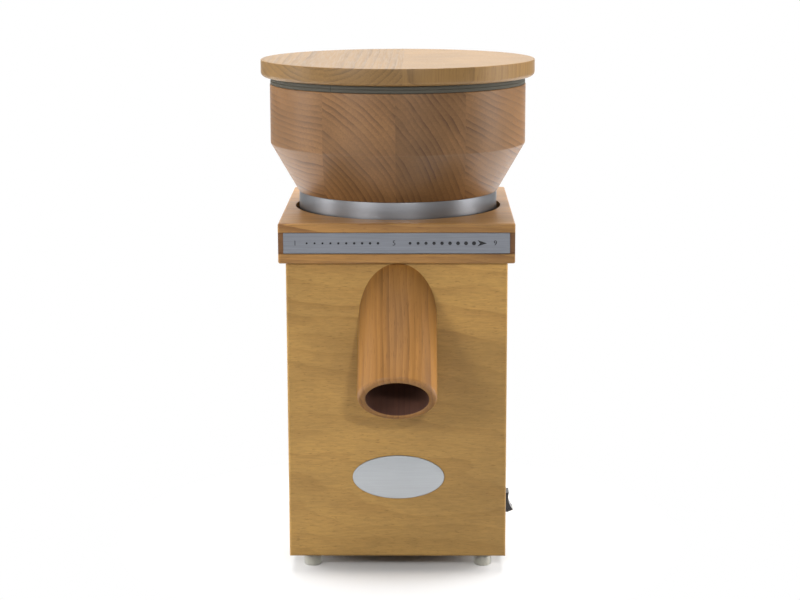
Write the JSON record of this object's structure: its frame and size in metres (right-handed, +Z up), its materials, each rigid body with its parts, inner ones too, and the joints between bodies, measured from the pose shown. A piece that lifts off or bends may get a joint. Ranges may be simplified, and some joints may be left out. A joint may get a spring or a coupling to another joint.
{
  "type": "electric grain mill",
  "caption": "Electric grain mill: a wooden case with a motor and stones, a sloping spout, and a round hopper with a lid that turns to set the grind.",
  "frame": {"origin": "on the floor under the middle of the whole mill's box", "axes": "+Z up, -Y towards the spout, +X to the right seen from the spout"},
  "size_m": [0.1842, 0.2334, 0.334],
  "materials": {
    "case_wood": "oiled beech",
    "head_wood": "oiled beech",
    "hopper_wood": "oiled beech, glued staves",
    "spout_wood": "oiled beech",
    "block_wood": "raw",
    "base_board": "plywood",
    "scale_metal": "anodised, fine brushed",
    "badge_metal": "anodised",
    "collar_metal": "turned",
    "cast_metal": "cast",
    "steel": "zinc plated",
    "stone": "coarse ground",
    "black_plastic": "moulded",
    "white_plastic": "moulded",
    "foot_rubber": "translucent",
    "seal_rubber": "matt",
    "felt": "felt",
    "laminations": "stacked sheet",
    "copper": "enamelled winding",
    "brass": "plated",
    "spring_steel": "spring"
  },
  "bodies": {
    "case": {"front_panel": "case_wood", "back_panel": "case_wood", "left_panel": "case_wood", "right_panel": "case_wood", "base_plate": "base_board", "glue_blocks": "block_wood", "foot_front_left": "foot_rubber", "foot_front_right": "foot_rubber", "foot_back_right": "foot_rubber", "foot_back_left": "foot_rubber", "foot_screws": "steel", "head_block": "head_wood", "scale_strip": "scale_metal", "oval_plate": "badge_metal", "outlet_spout": "spout_wood", "outlet_chute": "white_plastic", "milling_chamber": "cast_metal", "shaft_seal": "felt", "guide_pins": "steel", "spring_back": "spring_steel", "spring_left": "spring_steel", "spring_right": "spring_steel", "adjusting_nut": "white_plastic", "chamber_screws": "steel", "upper_bearing_outer_race": "steel", "upper_bearing_balls": "steel", "lower_bearing_outer_race": "steel", "lower_bearing_balls": "steel", "upper_end_shield": "cast_metal", "lower_end_shield": "cast_metal", "stator_core": "laminations", "stator_winding": "copper", "tie_bolts": "steel", "motor_screws": "steel", "run_capacitor": "white_plastic", "capacitor_clip": "steel", "terminal_block": "white_plastic", "cable_gland": "black_plastic", "gland_nut": "black_plastic", "switch_housing": "black_plastic", "switch_terminals": "brass", "switch_feed_lead": "black_plastic", "switch_motor_lead": "black_plastic"},
    "spindle": {"stone_carrier": "cast_metal", "lower_stone": "stone", "carrier_screw": "steel", "upper_bearing_inner_race": "steel", "lower_bearing_inner_race": "steel", "rotor": "laminations", "motor_shaft": "steel", "cooling_fan": "black_plastic"},
    "upper_stone_set": {"stone_holder": "white_plastic", "upper_stone": "stone"},
    "hopper": {"hopper_bowl": "hopper_wood", "thread_ring": "white_plastic", "hopper_screws": "steel", "collar_ring": "collar_metal", "seal_band": "seal_rubber"},
    "lid": {"lid": "head_wood"},
    "rocker": {"switch_rocker": "black_plastic"}
  },
  "joints": [
    {"name": "motor_spin", "type": "hinge", "parent": "case", "child": "spindle", "pos_m": [0, 0.02464, 0.1], "axis": [0, 0, 1], "continuous": true},
    {"name": "stone_lift", "type": "slide", "parent": "case", "child": "upper_stone_set", "axis": [0, 0, 1], "range_m": [-0.0007, 0.0024], "deforming": ["spring_back", "spring_left", "spring_right"]},
    {"name": "hopper_turn", "type": "hinge", "parent": "upper_stone_set", "child": "hopper", "pos_m": [0, 0.02464, 0.25], "axis": [0, 0, 1], "range_deg": [-60, 210]},
    {"name": "lid_lift", "type": "slide", "parent": "hopper", "child": "lid", "axis": [0, 0, 1], "range_m": [0, 0.12]},
    {"name": "rocker_tilt", "type": "hinge", "parent": "case", "child": "rocker", "pos_m": [0.0722, -0.01036, 0.035], "axis": [0, 1, 0], "range_deg": [0, 26]}
  ],
  "couplings": [
    {"joint": "stone_lift", "follows": "hopper_turn", "m_per_rad": 0.00063662}
  ]
}
